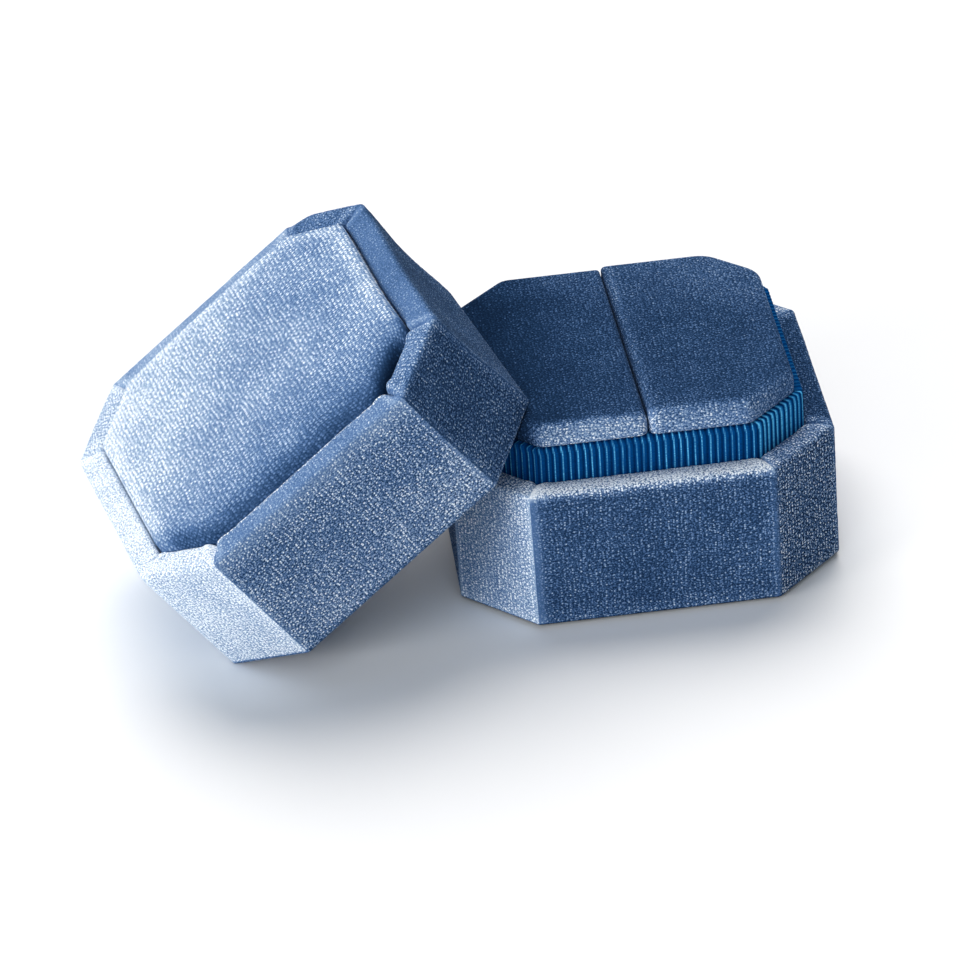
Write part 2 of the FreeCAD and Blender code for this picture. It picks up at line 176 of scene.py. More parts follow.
class Outline:
    """A convex polygon whose rings can be moved in and have rounded corners.

    Each side has its own frame: a distance along it from its middle, and its outward normal.
    """

    def __init__(self, corners, steps, arc_steps):
        self.corners = np.array(corners, float)
        following = np.roll(self.corners, -1, axis=0)
        edges = following - self.corners
        self.lengths = np.hypot(*edges.T)
        self.along = edges / self.lengths[:, None]
        self.normals = np.stack([self.along[:, 1], -self.along[:, 0]], 1)
        self.middles = (self.corners + following) / 2
        self.reach = (self.corners * self.normals).sum(1)
        self.sides = len(corners)
        self.steps = [max(2, steps[side % len(steps)]) for side in range(self.sides)]
        self.arc_steps = arc_steps
        between = self.lengths / 2 + np.roll(self.lengths, -1) / 2
        self.run = np.concatenate([[0], np.cumsum(between)])
        counts = [count + 2 * arc_steps for count in self.steps]
        self.side_of = np.repeat(np.arange(self.sides), counts)

    @property
    def columns(self):
        return len(self.side_of)

    def meeting(self, side, insets):
        """Where a side's start corner lies once every side has moved in."""
        before = (side - 1) % self.sides
        lines = np.array([self.normals[before], self.normals[side]])
        return np.linalg.solve(lines, np.array([self.reach[before] - insets[before],
                                                self.reach[side] - insets[side]]))

    def side_points(self, side, insets, radii):
        """Distances along the side's frame, and points, from one corner's middle to the next's."""
        after = (side + 1) % self.sides
        start, end = self.meeting(side, insets), self.meeting(after, insets)
        turn_start = self.turning(side) / 2
        turn_end = self.turning(after) / 2
        low = (start - self.middles[side]) @ self.along[side] + radii[side] * math.tan(turn_start)
        high = (end - self.middles[side]) @ self.along[side] - radii[after] * math.tan(turn_end)
        # The columns stand closer together towards the corners.
        even = np.linspace(-1, 1, self.steps[side] + 1)
        graded = 0.6 * even + 0.4 * np.sin(even * HALF_TURN / 2)
        straight = low + (high - low) * (graded + 1) / 2
        bend = np.linspace(1, 0, self.arc_steps + 1)[:-1]
        first, last = radii[side], radii[after]
        along = np.concatenate([low - first * np.sin(bend * turn_start), straight,
                                high + last * np.sin(bend[::-1] * turn_end)])
        back = np.concatenate([first * (1 - np.cos(bend * turn_start)), 0 * straight,
                               last * (1 - np.cos(bend[::-1] * turn_end))])
        out = self.reach[side] - insets[side] - self.middles[side] @ self.normals[side] - back
        places = self.middles[side] + np.outer(along, self.along[side])
        return along, places + np.outer(out, self.normals[side])

    def turning(self, side):
        before = self.along[side - 1]
        return math.acos(max(-1.0, min(1.0, float(before @ self.along[side]))))

    def ring(self, inset, radius):
        """Points round the outline, moved in by one inset or by one for each side."""
        insets = np.broadcast_to(np.asarray(inset, float), (self.sides,))
        radii = np.broadcast_to(np.asarray(radius, float), (self.sides,))
        found = [self.side_points(side, insets, radii) for side in range(self.sides)]
        points = np.concatenate([places[:-1] for _, places in found])
        left = np.concatenate([along[:-1] for along, _ in found])
        right = np.concatenate([along[1:] for along, _ in found])
        return points, left, right


class Skin:
    """Points, faces, a weave map for each face corner, and two tone values for each point.

    The first is painted sheen and shade, from 0 to 1: how pale the velvet is painted there, set by
    how its pile lies and by how the light falls; the second is how far its tufts and their painted
    glints show, and on the ribbon it carries a painted shine line.
    """

    def __init__(self):
        self.points = np.zeros((0, 3))
        self.tone = np.zeros((0, 2))
        self.faces = []
        self.weave = []

    def add_points(self, points, tone):
        first = len(self.points)
        sheen_and_shade, grit_and_shine = tone
        fresh = np.zeros((len(points), 2))
        fresh[:, 0] = sheen_and_shade
        fresh[:, 1] = grit_and_shine
        self.points = np.concatenate([self.points, points])
        self.tone = np.concatenate([self.tone, fresh])
        return first

    def add_face(self, corners, weave):
        self.faces.append(tuple(int(corner) for corner in corners))
        self.weave.extend(weave)

    def bridge(self, first, second, left, right):
        """Quads between two rings of points; left and right hold (low, high) weave rows."""
        count = len(left[0])
        for column in range(count):
            after = (column + 1) % count
            self.add_face((first + column, first + after, second + after, second + column),
                          (left[0][column], right[0][column], right[1][column], left[1][column]))


def sweep(outline, rows, shape, tone):
    """A skin that runs through rows of (inset, height, corner radius) round the outline.

    The wales run along the profile, side by side round the outline. shape(points, side, along,
    inset, row) moves a row's points, and tone(...), with the same arguments, gives the painted
    sheen and shade and how far the tufts and painted glints show.
    """
    skin = Skin()
    starts, maps = [], []
    travelled = 0.0
    for number, (inset, height, radius) in enumerate(rows):
        flat, left, right = outline.ring(inset, radius)
        points = np.column_stack([flat, np.full(len(flat), float(height))])
        if number:
            travelled += math.dist(rows[number - 1][:2], (inset, height))
        facts = (outline.side_of, left, inset, number)
        starts.append(skin.add_points(shape(points, *facts), tone(points, *facts)))
        run = outline.run[outline.side_of]
        line = np.full(len(left), travelled)
        maps.append((np.column_stack([run + left, line]), np.column_stack([run + right, line])))
    for low in range(len(rows)):
        high = (low + 1) % len(rows)
        left_map, right_map = maps[high]
        if high == 0:
            closing = (0, math.dist(rows[low][:2], rows[0][:2]))
            left_map, right_map = maps[low][0] + closing, maps[low][1] + closing
        skin.bridge(starts[low], starts[high], (maps[low][0], left_map), (maps[low][1], right_map))
    return skin


def pad_skin(outline, rows, tone):
    """A closed skin over a pad: capped at its first and last rows, with the weave laid flat.

    Rows are (inset, height, corner radius), from the crown's edge down to the foot's edge, and an
    inset or a radius may be one number or one for each side. tone(points) gives the painted sheen
    and shade and how far the tufts and painted glints show.
    """
    skin = Skin()
    starts, maps = [], []
    travelled = np.zeros(outline.sides)
    top_ring = outline.ring(rows[0][0], rows[0][2])[0]
    for number, (inset, height, radius) in enumerate(rows):
        flat = outline.ring(inset, radius)[0]
        points = np.column_stack([flat, np.full(len(flat), float(height))])
        if number:
            before = rows[number - 1]
            travelled = travelled + np.hypot(inset - before[0], height - before[1])
        starts.append(skin.add_points(points, tone(points)))
        shift = travelled[outline.side_of][:, None] * outline.normals[outline.side_of]
        maps.append((top_ring + shift, np.roll(top_ring, -1, axis=0) + shift))
    for low in range(len(rows) - 1):
        high = low + 1
        skin.bridge(starts[low], starts[high], (maps[low][0], maps[high][0]),
                    (maps[low][1], maps[high][1]))
    cap(skin, outline, starts[0], tone)
    cap(skin, outline, starts[-1], tone)
    return skin


def cap(skin, outline, start, tone):
    """Close a ring of points with a square grid of quads bent to the ring's shape.

    The square's corners lie on the middle of the outline's last side and a quarter turn apart.
    """
    count = outline.columns
    size = count // 4
    middle = size // 2
    offset = count - int((outline.side_of == outline.sides - 1).sum()) // 2
    ring = skin.points[start:start + count]
    centre = ring.mean(0)
    number = {}
    fresh = []
    for row in range(size + 1):
        for column in range(size + 1):
            across, up = column - middle, row - middle
            shell = max(abs(across), abs(up))
            place = offset + edge_step(across, up, shell) * middle / max(shell, 1)
            here = int(place)
            if shell == middle:
                number[row, column] = start + here % count
                continue
            share = shell / middle
            share = 0.5 * share + 0.5 * math.sin(share * HALF_TURN / 2)
            part = place - here
            edge = ring[here % count] * (1 - part) + ring[(here + 1) % count] * part
            number[row, column] = len(skin.points) + len(fresh)
            fresh.append(centre + share * (edge - centre))
    fresh = np.array(fresh)
    skin.add_points(fresh, tone(fresh))
    for row in range(size):
        for column in range(size):
            corners = [number[row, column], number[row, column + 1],
                       number[row + 1, column + 1], number[row + 1, column]]
            skin.add_face(corners, [skin.points[corner][:2] for corner in corners])


def edge_step(across, up, shell):
    """Steps from the square's lower right corner, counter-clockwise, to a place on a shell."""
    if across == shell and up < shell:
        return up + shell
    if up == shell and across > -shell:
        return 2 * shell + (shell - across)
    if across == -shell and up > -shell:
        return 4 * shell + (shell - up)
    return 6 * shell + (across + shell)


# -------- making pieces

def add_object(name, data):
    made = bpy.data.objects.new(name, data)
    bpy.context.scene.collection.objects.link(made)
    return made


def make_piece(name, skin, material, body, node, lid=False):
    """Turn a skin into a piece that rides on a body and stands for a node."""
    points = skin.points @ LID_ROTATION.T + LID_ORIGIN if lid else skin.points
    mesh = bpy.data.meshes.new(name)
    mesh.from_pydata((points * MM).tolist(), [], skin.faces)
    weave = mesh.uv_layers.new(name="weave")
    weave.data.foreach_set("uv", np.array(skin.weave, np.float32).ravel())
    # The painted sheen and shade of each point, and how far its tufts and painted glints show.
    for column, key in enumerate(("sheen_and_shade", "grit_and_shine")):
        values = mesh.attributes.new(key, "FLOAT", "POINT")
        values.data.foreach_set("value", skin.tone[:, column].astype(np.float32))
    turn_outwards(mesh)
    mesh.polygons.foreach_set("use_smooth", [True] * len(mesh.polygons))
    mesh.materials.append(material)
    piece = add_object(name, mesh)
    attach(piece, body)
    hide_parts(node)
    return piece


def turn_outwards(mesh):
    tidy = bmesh.new()
    tidy.from_mesh(mesh)
    bmesh.ops.recalc_face_normals(tidy, faces=tidy.faces)
    tidy.to_mesh(mesh)
    tidy.free()


def smooth_out(piece, levels):
    """Subdivide a piece's mesh for good."""
    modifier = piece.modifiers.new("smooth", "SUBSURF")
    modifier.levels = levels
    modifier.render_levels = levels
    graph = bpy.context.evaluated_depsgraph_get()
    fine = bpy.data.meshes.new_from_object(piece.evaluated_get(graph))
    piece.modifiers.clear()
    rough = piece.data
    piece.data = fine
    bpy.data.meshes.remove(rough)


def puff_up(skin, held, cap_out):
    """Blow a pad's skin up by cloth simulation, its held points fixed and its rise capped."""
    scale = SIMULATION_SCALE * MM
    mesh = bpy.data.meshes.new("puffed")
    mesh.from_pydata((skin.points * scale).tolist(), [], skin.faces)
    turn_outwards(mesh)
    cloth_object = add_object("puffed", mesh)
    group = cloth_object.vertex_groups.new(name="held")
    group.add([int(number) for number in np.flatnonzero(held)], 1.0, "REPLACE")
    cloth = cloth_object.modifiers.new("cloth", "CLOTH")
    for key, value in CLOTH.items():
        setattr(cloth.settings, key, value)
    cloth.settings.effector_weights.gravity = 0
    cloth.collision_settings.use_collision = False
    scene = bpy.context.scene
    for number in range(1, SIMULATION_FRAMES + 1):
        scene.frame_set(number)
    graph = bpy.context.evaluated_depsgraph_get()
    result = cloth_object.evaluated_get(graph).data
    moved = np.array([vertex.co for vertex in result.vertices], float) / scale - skin.points
    far = np.linalg.norm(moved, axis=1)
    share = np.where(far > 1e-9, cap_out * np.tanh(far / cap_out) / np.maximum(far, 1e-9), 0)
    skin.points = skin.points + moved * share[:, None]
    scene.frame_set(1)
    bpy.data.objects.remove(cloth_object)
    bpy.data.meshes.remove(mesh)


def wander(points, size, seed):
    """Smooth noise from -1 to 1 at each point, its lumps about as wide as size."""
    shift = Vector((seed * 7.3, seed * 3.1, seed * 5.7))
    return np.array([noise.noise(Vector(point) / size + shift) for point in points])


def step_up(value, low, high):
    """A smooth step from 0 at low to 1 at high."""
    share = np.clip((np.asarray(value, float) - low) / (high - low), 0, 1)
    return share * share * (3 - 2 * share)


def bell(value, middle, width):
    """A smooth bump, 1 at its middle."""
    return np.exp(-((np.asarray(value, float) - middle) / width) ** 2)


def arc_rows(centre, radius, start, end, steps, corner):
    """Rows of a quarter or half round, centre (inset, height), angles in degrees from inwards."""
    rows = []
    for angle in np.radians(np.linspace(start, end, steps)):
        place = (centre[0] + radius * math.cos(angle), centre[1] + radius * math.sin(angle))
        rows.append((*place, corner))
    return rows


def line_rows(start, end, steps, corner):
    """Evenly spaced rows on a line from start to end, both (inset, height), without the start."""
    shares = np.linspace(0, 1, steps + 1)[1:]
    return [(start[0] + (end[0] - start[0]) * share, start[1] + (end[1] - start[1]) * share, corner)
            for share in shares]


# -------- materials

# The velvet's colour ramp, from dark pile seen end on to pale pile lying flat: the dark end stands
# in part for painted shade and the pale end for painted sheen.
VELVET_TONES = (
    (0.0, (0.002, 0.007, 0.020)),
    (0.12, (0.015, 0.0425, 0.105)),
    (0.30, (0.081, 0.161, 0.332)),
    (0.55, (0.278, 0.388, 0.553)),
    (0.80, (0.568, 0.650, 0.752)),
    (1.0, (0.875, 0.922, 0.97)),
)


class Nodes:
    """A small helper that adds shader nodes and links them as it goes."""

    def __init__(self, name):
        self.material = bpy.data.materials.new(name)
        self.material.use_nodes = True
        self.tree = self.material.node_tree
        self.tree.nodes.clear()
        self.shader = self.add("BsdfPrincipled")
        output = self.add("OutputMaterial")
        self.tree.links.new(self.shader.outputs["BSDF"], output.inputs["Surface"])

    def add(self, kind, **settings):
        node = self.tree.nodes.new("ShaderNode" + kind)
        for key, value in settings.items():
            setattr(node, key, value)
        return node

    def feed(self, socket, value):
        if isinstance(value, bpy.types.NodeSocket):
            self.tree.links.new(value, socket)
        elif isinstance(value, tuple) and len(value) == 3 and len(socket.default_value) == 4:
            socket.default_value = (*value, 1.0)
        else:
            socket.default_value = value

    def math(self, operation, *values, clamp=False):
        node = self.add("Math", operation=operation, use_clamp=clamp)
        for socket, value in zip(node.inputs, values):
            self.feed(socket, value)
        return node.outputs[0]

    def remap(self, value, low, high, new_low=0.0, new_high=1.0):
        node = self.add("MapRange", interpolation_type="SMOOTHSTEP")
        for socket, item in zip(node.inputs, (value, low, high, new_low, new_high)):
            self.feed(socket, item)
        return node.outputs[0]

    def mix(self, factor, first, second):
        node = self.add("Mix", data_type="RGBA")
        self.feed(node.inputs["Factor"], factor)
        self.feed(node.inputs[6], first)
        self.feed(node.inputs[7], second)
        return node.outputs[2]

    def scaled(self, vector, *scale):
        node = self.add("Mapping")
        self.feed(node.inputs["Vector"], vector)
        node.inputs["Scale"].default_value = scale
        return node.outputs[0]

    def noise(self, vector, scale, detail=2.0):
        node = self.add("TexNoise")
        self.feed(node.inputs["Vector"], vector)
        node.inputs["Scale"].default_value = scale
        node.inputs["Detail"].default_value = detail
        return node.outputs["Fac"]

    def bump(self, height, distance):
        node = self.add("Bump")
        self.feed(node.inputs["Height"], height)
        node.inputs["Distance"].default_value = distance
        node.inputs["Strength"].default_value = 1.0
        self.feed(self.shader.inputs["Normal"], node.outputs[0])

    def set(self, **values):
        names = {name.replace(" ", "_").lower(): name for name in self.shader.inputs.keys()}
        for key, value in values.items():
            self.feed(self.shader.inputs[names[key]], value)


def velvet(name, tufts=(1.6, 1.75), scatter=0.95, ridge=0.5, fuzz=1.0, sheen=0.06):
    """Cut-pile velvet: rows of tufts over a dark ground, paled along a colour ramp by the painted
    sheen and shade that each point carries, with painted glints on the tufts.

    It has so many tufts to a wale and to a course, scattered out of their rows; ridge is how far
    the wales show, and fuzz how far single fibres do.
    """
    nodes = Nodes(name)
    weave = nodes.add("UVMap", uv_map="weave").outputs[0]
    sheen_and_shade = nodes.add("Attribute", attribute_name="sheen_and_shade").outputs["Fac"]
    grit_and_shine = nodes.add("Attribute", attribute_name="grit_and_shine").outputs["Fac"]
    # The rows of the pile wander a little.
    sway = nodes.noise(nodes.scaled(weave, 0.2, 0.16, 1), 1.0, 2.0)
    split = nodes.add("SeparateXYZ")
    nodes.feed(split.inputs[0], weave)
    wale = nodes.math("DIVIDE", split.outputs[0], WALE_PITCH)
    course = nodes.math("DIVIDE", split.outputs[1], COURSE_PITCH)
    across = nodes.math("MULTIPLY_ADD", sway, 1.4, wale)
    along = nodes.math("MULTIPLY_ADD", sway, 2.2, course)
    rows = nodes.add("CombineXYZ")
    nodes.feed(rows.inputs[0], across)
    nodes.feed(rows.inputs[1], along)
    cells = nodes.add("TexVoronoi", voronoi_dimensions="2D")
    nodes.feed(cells.inputs["Vector"], nodes.scaled(rows.outputs[0], *tufts, 1))
    cells.inputs["Scale"].default_value = 1.0
    cells.inputs["Randomness"].default_value = scatter
    tip = nodes.remap(cells.outputs["Distance"], 0.55, 0.1)
    chance = nodes.add("SeparateColor")
    nodes.feed(chance.inputs[0], cells.outputs["Color"])
    # Each tuft's random brightness, a painted glint.
    glint = nodes.math("MULTIPLY_ADD", nodes.math("POWER", chance.outputs[0], 2.0), 1.6, 0.5)
    turned = nodes.math("MULTIPLY", nodes.math("SUBTRACT", across, scatter / 2), 2 * HALF_TURN)
    raised = nodes.math("MULTIPLY_ADD", nodes.math("COSINE", turned), ridge, 1.0)
    fibres = nodes.noise(nodes.scaled(weave, 5.2, 4.5, 1), 1.0, 1.5)
    fibre = nodes.remap(fibres, 0.34, 0.68)
    drift = nodes.noise(nodes.scaled(weave, 0.14, 0.10, 1), 1.0, 2.0)
    brushed = nodes.remap(drift, 0.3, 0.7, 0.92, 1.08)
    # How pale each spot is painted: its painted sheen and shade, spread by the tufts, their rows
    # and the fibres.
    tuft = nodes.math("MULTIPLY", nodes.math("MULTIPLY", tip, glint), raised)
    level = 0.45 + 0.5 * fuzz
    grain = nodes.math("MULTIPLY_ADD", fibre, fuzz, nodes.math("MULTIPLY_ADD", tuft, 1.25, -level))
    change = nodes.math("MULTIPLY_ADD", grain, grit_and_shine, 1.0)
    painted_light_level = nodes.math("MULTIPLY", nodes.math("MULTIPLY", sheen_and_shade, brushed), change)
    # Rare bright specks on single tufts, painted glints.
    glint_speck = nodes.math("MULTIPLY", tip, nodes.remap(chance.outputs[1], 0.97, 0.99))
    glint_speck = nodes.math("MULTIPLY", glint_speck, grit_and_shine)
    painted_light_level = nodes.math("MULTIPLY_ADD", glint_speck, 0.22, painted_light_level, clamp=True)
    ramp = nodes.add("ValToRGB")
    nodes.feed(ramp.inputs[0], painted_light_level)
    stops = ramp.color_ramp.elements
    for place, _ in VELVET_TONES[1:-1]:
        stops.new(place)
    for stop, (place, colour) in zip(stops, VELVET_TONES):
        stop.position = place
        stop.color = (*colour, 1)
    nodes.set(base_color=ramp.outputs[0], roughness=0.85, specular_ior_level=0.0)
    nodes.set(sheen_weight=sheen, sheen_roughness=0.35, sheen_tint=(0.66, 0.82, 1.0))
    raised_tip = nodes.math("MULTIPLY", tip, 0.5)
    nodes.bump(nodes.math("MULTIPLY_ADD", fibre, 0.4, raised_tip), 0.00006)
    return nodes.material


def ribbon_material():
    """Satin grosgrain: painted highlights on the crests, painted shade in the valleys, a painted
    shine line on each rib, and the fine warp across each rib.
    """
    nodes = Nodes("grosgrain_blue")
    weave = nodes.add("UVMap", uv_map="weave").outputs[0]
    # The two tone values carry the crests' painted highlight and shade, and a painted shine line.
    crest = nodes.add("Attribute", attribute_name="sheen_and_shade").outputs["Fac"]
    flank_shine = nodes.add("Attribute", attribute_name="grit_and_shine").outputs["Fac"]
    threads = nodes.noise(nodes.scaled(weave, 1.1, 5.2, 1), 1.0, 1.0)
    thread = nodes.remap(threads, 0.35, 0.65)
    shine = nodes.math("MULTIPLY", flank_shine, nodes.math("MULTIPLY_ADD", thread, 0.75, 0.5), clamp=True)
    # Painted shade in the valleys, paler crests, and brighter painted highlights where the crests
    # are strongest.
    body = nodes.mix(nodes.remap(crest, 0.0, 0.35), (0.0005, 0.022, 0.095), (0.0012, 0.060, 0.225))
    body = nodes.mix(nodes.math("MULTIPLY", thread, 0.5), body, (0.0006, 0.034, 0.125))
    body = nodes.mix(nodes.remap(crest, 0.75, 1.5), body, (0.010, 0.17, 0.46))
    nodes.set(base_color=nodes.mix(shine, body, (0.12, 0.56, 0.93)), roughness=0.6)
    nodes.set(specular_ior_level=0.0)
    nodes.bump(thread, 0.00004)
    return nodes.material


def flecked(name, first, second, scale, roughness, bump=0.00003):
    """A plain matt material mottled at one scale, for card, foam and moulded parts."""
    nodes = Nodes(name)
    place = nodes.add("TexCoord").outputs["Object"]
    spots = nodes.noise(place, scale, 4.0)
    nodes.set(base_color=nodes.mix(nodes.remap(spots, 0.35, 0.65), first, second))
    nodes.set(roughness=nodes.remap(spots, 0.3, 0.7, roughness - 0.08, roughness + 0.08))
    nodes.bump(spots, bump)
    return nodes.material


base_velvet = velvet("velvet_base")
lid_velvet = velvet("velvet_lid")
panel_velvet = velvet("velvet_panel", tufts=(1.0, 1.35), scatter=0.65, ridge=0.4)
cushion_velvet = velvet("velvet_cushion", ridge=0.25, fuzz=1.1, sheen=0.02)
lining_velvet = velvet("velvet_lining")
grosgrain = ribbon_material()


def dress_frame():
    """Give every node of the frame that stays in view its own procedural material."""
    card = flecked("card_grey", (0.30, 0.29, 0.27), (0.42, 0.41, 0.38), 900, 0.8)
    black_card = flecked("card_blue_black", (0.010, 0.016, 0.035), (0.02, 0.032, 0.065), 1400, 0.75)
    foam = flecked("foam_white", (0.62, 0.60, 0.52), (0.78, 0.77, 0.70), 2600, 0.9, 0.0001)
    plastic = flecked("moulded_grey", (0.10, 0.105, 0.12), (0.13, 0.135, 0.15), 500, 0.45)
    paper = flecked("flocked_lining", (0.010, 0.028, 0.085), (0.028, 0.07, 0.17), 3200, 0.9, 0.0001)
    chosen = (
        (plastic, "base_shell lid_shell"),
        (black_card, "base_underside_board"),
        (card, "collar_wall cushion_board lid_panel_board lid_lining_board"),
        (foam, "left_cushion_foam right_cushion_foam lid_panel_wadding lid_lining_wadding"),
        (paper, "lid_lining_wall"),
    )
    for material, names in chosen:
        for name in names.split():
            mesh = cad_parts[name].data
            mesh.materials.clear()
            mesh.materials.append(material)


# -------- the velvet wraps

# The outline that both halves share.
CASING = Outline(octagon(HALF, CORNER_CUT), (84, 36), 5)
MITRE = math.tan(HALF_TURN / 8)
SIDES = ("RIGHT", "BACK_RIGHT", "BACK", "BACK_LEFT", "LEFT", "FRONT_LEFT", "FRONT", "FRONT_RIGHT")
FRONT_LEFT, FRONT, FRONT_RIGHT = range(5, 8)
# How deep the cloth is tucked in at the mitre lines of each side.
TUCKS = np.array([0.30, 0.34, 0.28, 0.36, 0.30, 0.38, 0.32, 0.30])


def from_mitre(outline, side, along, inset):
    """Distance from the nearest mitre line of a point in its side's frame."""
    return (outline.lengths[side] / 2 - inset * MITRE - np.abs(along)) * math.cos(HALF_TURN / 8)


def uneven(points, seed):
    """How far the velvet stands out: slow waves, and the lumps of the pile."""
    slow = SLOW_UNEVEN * wander(points, 9.0, seed)
    return slow + PILE_UNEVEN * wander(points, PILE_LUMPS, seed + 1)


def by_side(side, rest, **values):
    """Each asked side's value: its own where it is named, as in SIDES, or else rest."""
    table = np.full(len(SIDES), float(rest))
    for name, value in values.items():
        table[SIDES.index(name)] = value
    return table[side]


def rim_rows(top, inner):
    """Rows over a wrap's top: its outer round, its flat, and its inner round."""
    rows = arc_rows((EDGE_ROUND, top - EDGE_ROUND), EDGE_ROUND, 180, 90, 7, CORNER_ROUND)[1:]
    rows += line_rows((EDGE_ROUND, top), (RIM_INSET - inner, top), RIM_ROWS, INNER_CORNER)
    return rows + arc_rows((RIM_INSET - inner, top - inner), inner, 90, 0, 6, INNER_CORNER)[1:]


def make_base_wrap():
    """The base's velvet: in under the foot, up the wall, over the rim and down inside it."""
    outline = CASING
    inner = 0.8
    back_in = HALF - SHELL_HALF
    wall_in = RIM_INSET - VELVET
    foot_in = back_in + FOOT_TURN
    turn_foot = RIBBON_LOW[2]
    rows = [(foot_in, FOOT, FOOT_CORNER)]
    rows += line_rows((foot_in, FOOT), (FOOT_ROUND, FOOT), 6, CORNER_ROUND)
    rows += arc_rows((FOOT_ROUND, FOOT + FOOT_ROUND), FOOT_ROUND, 270, 180, 5, CORNER_ROUND)[1:]
    wall_start = len(rows)
    rows += line_rows((0, FOOT + FOOT_ROUND), (0, RIM - EDGE_ROUND), WALL_ROWS, CORNER_ROUND)
    rim_start = len(rows)
    rows += rim_rows(RIM, inner)
    rim_end = len(rows)
    rows += line_rows((RIM_INSET, RIM - inner), (RIM_INSET, turn_foot), 4, INNER_CORNER)
    rows += [(wall_in, turn_foot, INNER_CORNER), (wall_in, RIM - VELVET, INNER_CORNER),
             (back_in, RIM - VELVET, BACK_CORNER), (back_in, FOOT + VELVET, BACK_CORNER),
             (foot_in, FOOT + VELVET, FOOT_CORNER)]

    def shape(points, side, along, inset, row):
        moved = points.copy()
        if wall_start <= row < rim_end:
            moved[:, :2] += outline.normals[side] * uneven(points, 1)[:, None]
        if rim_start <= row < rim_end:
            gap = from_mitre(outline, side, along, inset)
            weight = float(step_up(inset, 0.4, RIM_INSET * 0.8))
            fold = 0.8 * bell(gap, 1.2, 0.8) - 1.2 * bell(gap, 0, 0.32)
            tuck = 0.6 * TUCKS[side] * weight * fold
            lift = RIM_DOME * bell(inset, RIM_INSET * 0.45, RIM_INSET * 0.35)
            moved[:, 2] += (lift + tuck + 0.08 * wander(points, 5.0, 3)
                            + 0.06 * wander(points, 0.8, 4))
        return moved

    def tone(points, side, along, inset, row):
        gap = from_mitre(outline, side, along, inset)
        height = points[:, 2]
        share = along / outline.lengths[side] + 0.5
        # How pale the wall is painted: painted light and shade side by side, a painted shadow of
        # the lid on the left part of the front-left side, painted highlights at its corners and
        # near its foot, and painted contact shade right at the bottom, where it stands.
        wall = by_side(side, rest=0.28, FRONT=0.19, FRONT_RIGHT=0.23, FRONT_LEFT=0.46)
        wall = wall + np.where(side == FRONT_LEFT, 0.12 * step_up(share, 0.3, 0.98), 0)
        wall = wall + np.where(side == FRONT, 0.07 * bell(share, 0.0, 0.045), 0)
        wall = wall + 0.10 * bell(height, FOOT, 1.6) + 0.06 * bell(gap, 0.7, 0.4)
        wall = wall * step_up(height, FOOT + 0.1, FOOT + 0.6)
        # The rim's painted light and shade, side by side, with painted highlights at the mitres; it
        # takes over from the wall's across the edge.
        rim = by_side(side, rest=0.30, FRONT=1.0, FRONT_RIGHT=0.36, FRONT_LEFT=0.6, BACK_RIGHT=0.38,
                      RIGHT=0.13)
        rim = rim + 0.16 * bell(gap, 0.9, 0.9)
        fuzz = 0.5 * wander(points, 0.6, 6)
        climb = height - RIM + inset + fuzz if row < rim_end else np.full(len(points), 9.0)
        over = step_up(climb, -1.3, 1.0)
        # How far the tufts and their painted glints show, side by side.
        calm = by_side(side, rest=0.85, FRONT_LEFT=0.65, FRONT_RIGHT=1.5)
        band = np.where(side == FRONT, 1 - bell(share, 0.0, 0.045), 1.0)
        grit_and_shine = (1 - 0.6 * bell(gap, 0, 0.5)) * (0.35 + 0.65 * band) * (calm + (0.9 - calm) * over)
        return wall + (rim - wall) * over + 0.015 * wander(points, 6.0, 5), grit_and_shine

    skin = sweep(outline, rows, shape, tone)
    make_piece("base_velvet", skin, base_velvet, "box_base", "base_velvet_wrap")


def skew_lid(points):
    """Draw the lid's top out of square: back and to the right at its back, forward in front."""
    x, y, z = points.T
    high = step_up(z, LID_TOP * 0.3, LID_TOP)
    within = 1 - step_up(y, 24.9, 28.5)
    back = within * step_up(x, -26, 4)
    moved = points.copy()
    moved[:, 0] += SKEW_RIGHT * high * within * step_up(x, 6, 25) * step_up(y, -8, 18)
    forward = SKEW_FRONT * step_up(x, 10, 28) * step_up(-y, 4, 18)
    moved[:, 1] += high * (SKEW_BACK * back * step_up(y, 4, 25) - forward)
    moved[:, 2] += SKEW_UP * high * back * step_up(y, 0, 25)
    return moved


